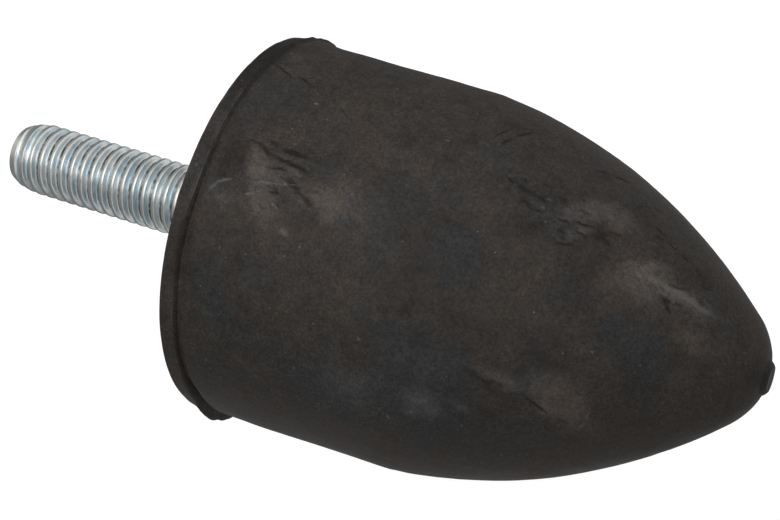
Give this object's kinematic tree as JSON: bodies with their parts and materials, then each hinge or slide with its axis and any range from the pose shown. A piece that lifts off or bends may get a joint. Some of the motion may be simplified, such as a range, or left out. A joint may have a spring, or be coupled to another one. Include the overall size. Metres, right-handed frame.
{
  "type": "rubber buffer",
  "caption": "Ogive-shaped moulded rubber bumper bonded to a steel disc, with a threaded stud on the base's axis.",
  "frame": {"origin": "centre of the seat face, where the stud leaves the underside", "axes": "+Z along the axis towards the rubber's tip, so the stud points along -Z; +X points to the larger patch of torn flash"},
  "size_m": [0.0509, 0.0494, 0.1048],
  "materials": {
    "rubber": "matt black moulded rubber with scuffs",
    "plate_steel": "dull zinc-plated sheet steel",
    "stud_zinc": "bright blue-white zinc-plated rolled thread"
  },
  "bodies": {
    "root": {"rubber_body": "rubber", "base_plate": "plate_steel", "stud": "stud_zinc"}
  },
  "joints": []
}
